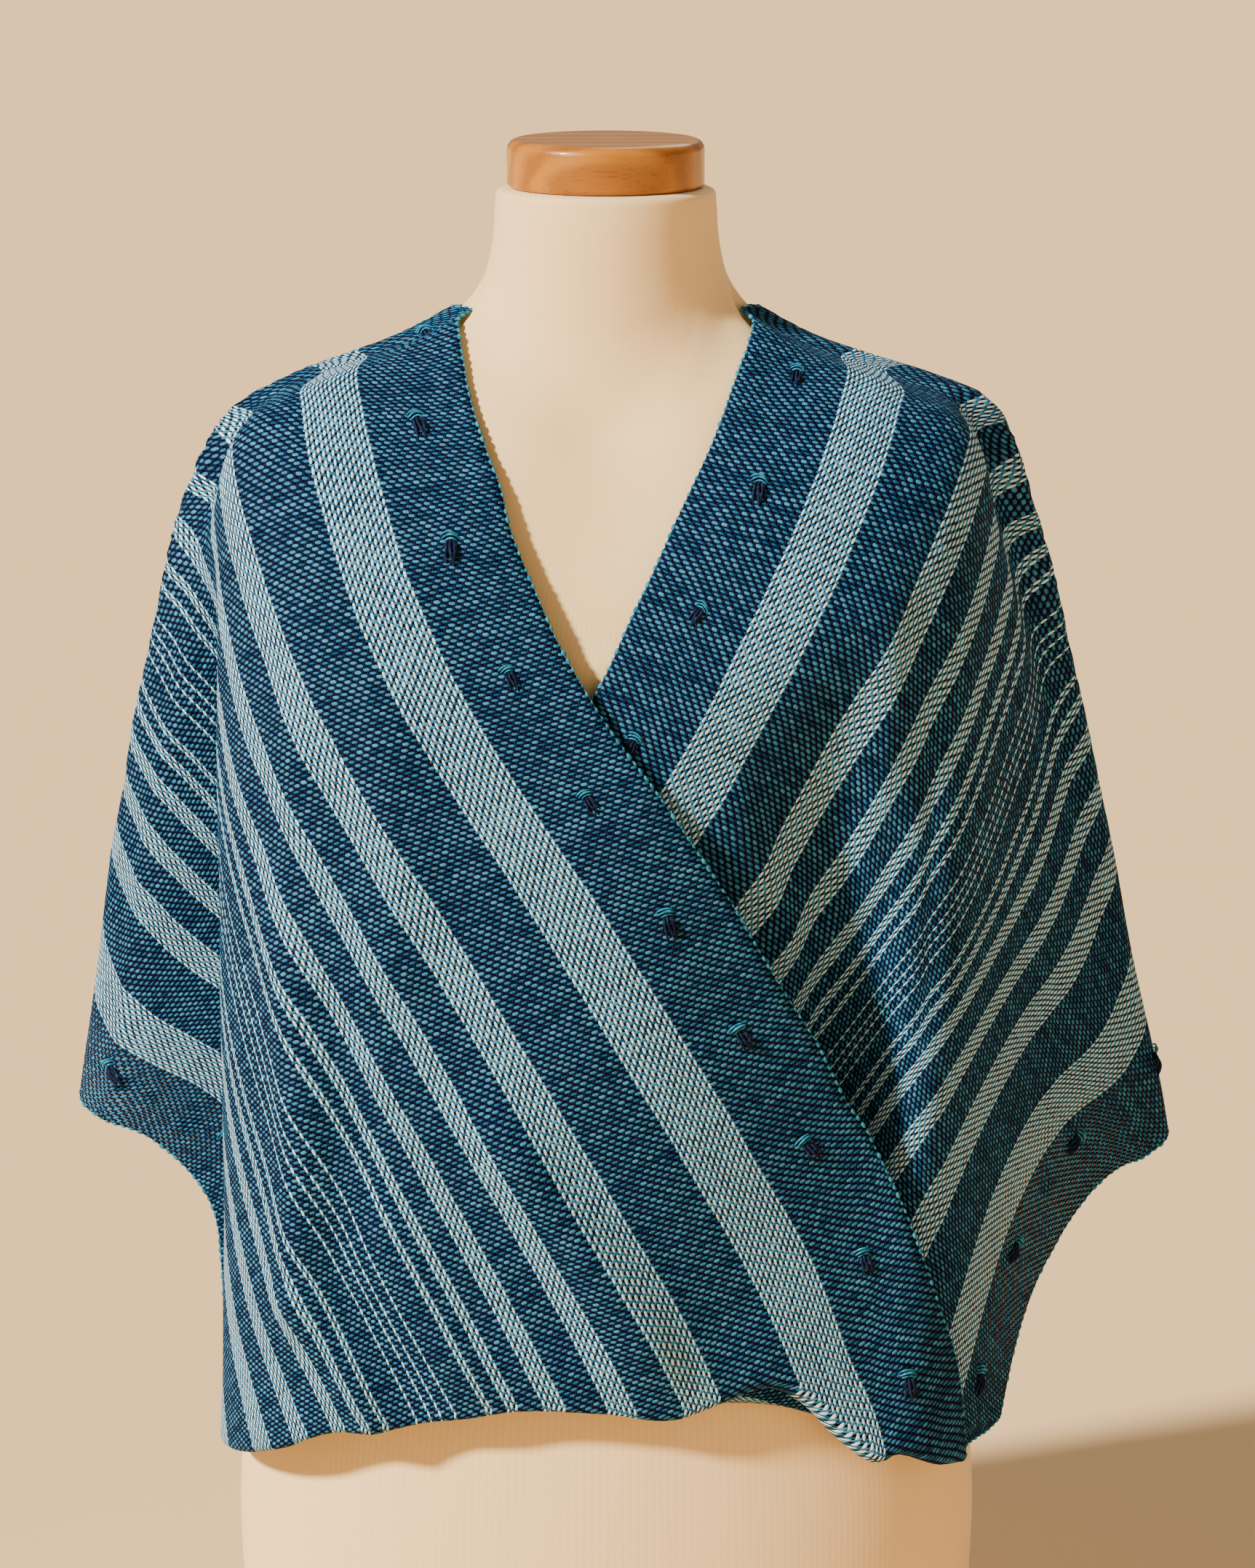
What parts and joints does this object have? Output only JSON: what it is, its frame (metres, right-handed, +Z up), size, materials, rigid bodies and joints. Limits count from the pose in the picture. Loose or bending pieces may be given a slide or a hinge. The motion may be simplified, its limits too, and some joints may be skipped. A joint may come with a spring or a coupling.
{
  "type": "rebozo shawl with a half turn, on a limbless dress form",
  "caption": "Striped handwoven band joined in a loop with a half turn, worn crossed at the front over a limbless dress form with a turned neck cap.",
  "frame": {"origin": "centre of the dress form's flat base", "axes": "+Z up along the form, -Y towards the front of the wearer, +X towards the wearer's left, which is the right of the picture"},
  "size_m": [0.5569, 0.2563, 0.7678],
  "materials": {
    "jersey_cover": "cream knitted cotton cover with a fine rib",
    "turned_wood": "honey varnish",
    "handwoven_cloth": "plain weave, navy and teal with white stripes"
  },
  "bodies": {
    "root": {"form_body": "jersey_cover", "form_neck_cap": "turned_wood", "shawl_front_crossing": "handwoven_cloth", "shawl_front_under": "handwoven_cloth", "shawl_left_shoulder": "handwoven_cloth", "shawl_right_shoulder": "handwoven_cloth", "shawl_back_left": "handwoven_cloth", "shawl_back_right": "handwoven_cloth"}
  },
  "joints": []
}
